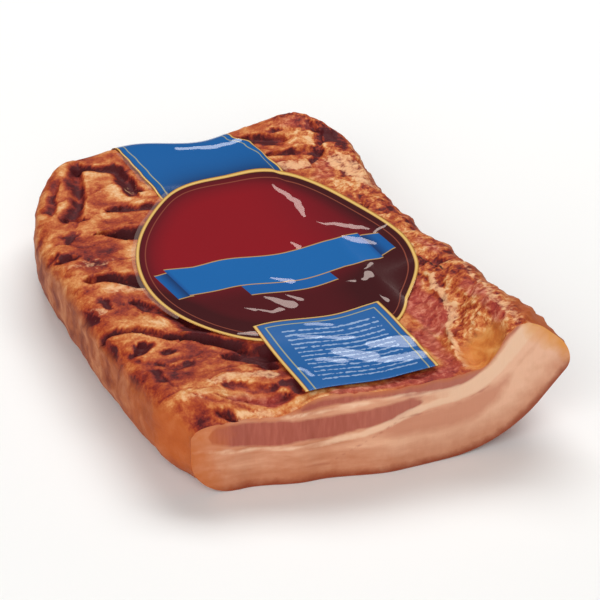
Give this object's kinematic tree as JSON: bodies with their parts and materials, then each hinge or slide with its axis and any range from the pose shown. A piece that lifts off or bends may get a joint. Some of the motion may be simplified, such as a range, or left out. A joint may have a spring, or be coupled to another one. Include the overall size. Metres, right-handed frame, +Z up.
{
  "type": "smoked bacon slab pack",
  "caption": "Slab of smoked pork belly with rounded back corners, one cut end and a curled-up side, dressed with a thin oval label, a band and a square panel.",
  "frame": {"origin": "middle of the bounding box's bottom face, on the surface that the slab lies on", "axes": "+Z up, +Y from the cut end to the back edge along the length, +X across to the side that curls up"},
  "size_m": [0.2206, 0.317, 0.0728],
  "materials": {
    "smoked_meat": "browned, moist, semi-gloss",
    "blue_film": "printed gloss film",
    "red_film": "printed gloss film"
  },
  "bodies": {
    "root": {"slab": "smoked_meat", "back_band": "blue_film", "medallion": "red_film", "front_panel": "blue_film"}
  },
  "joints": []
}
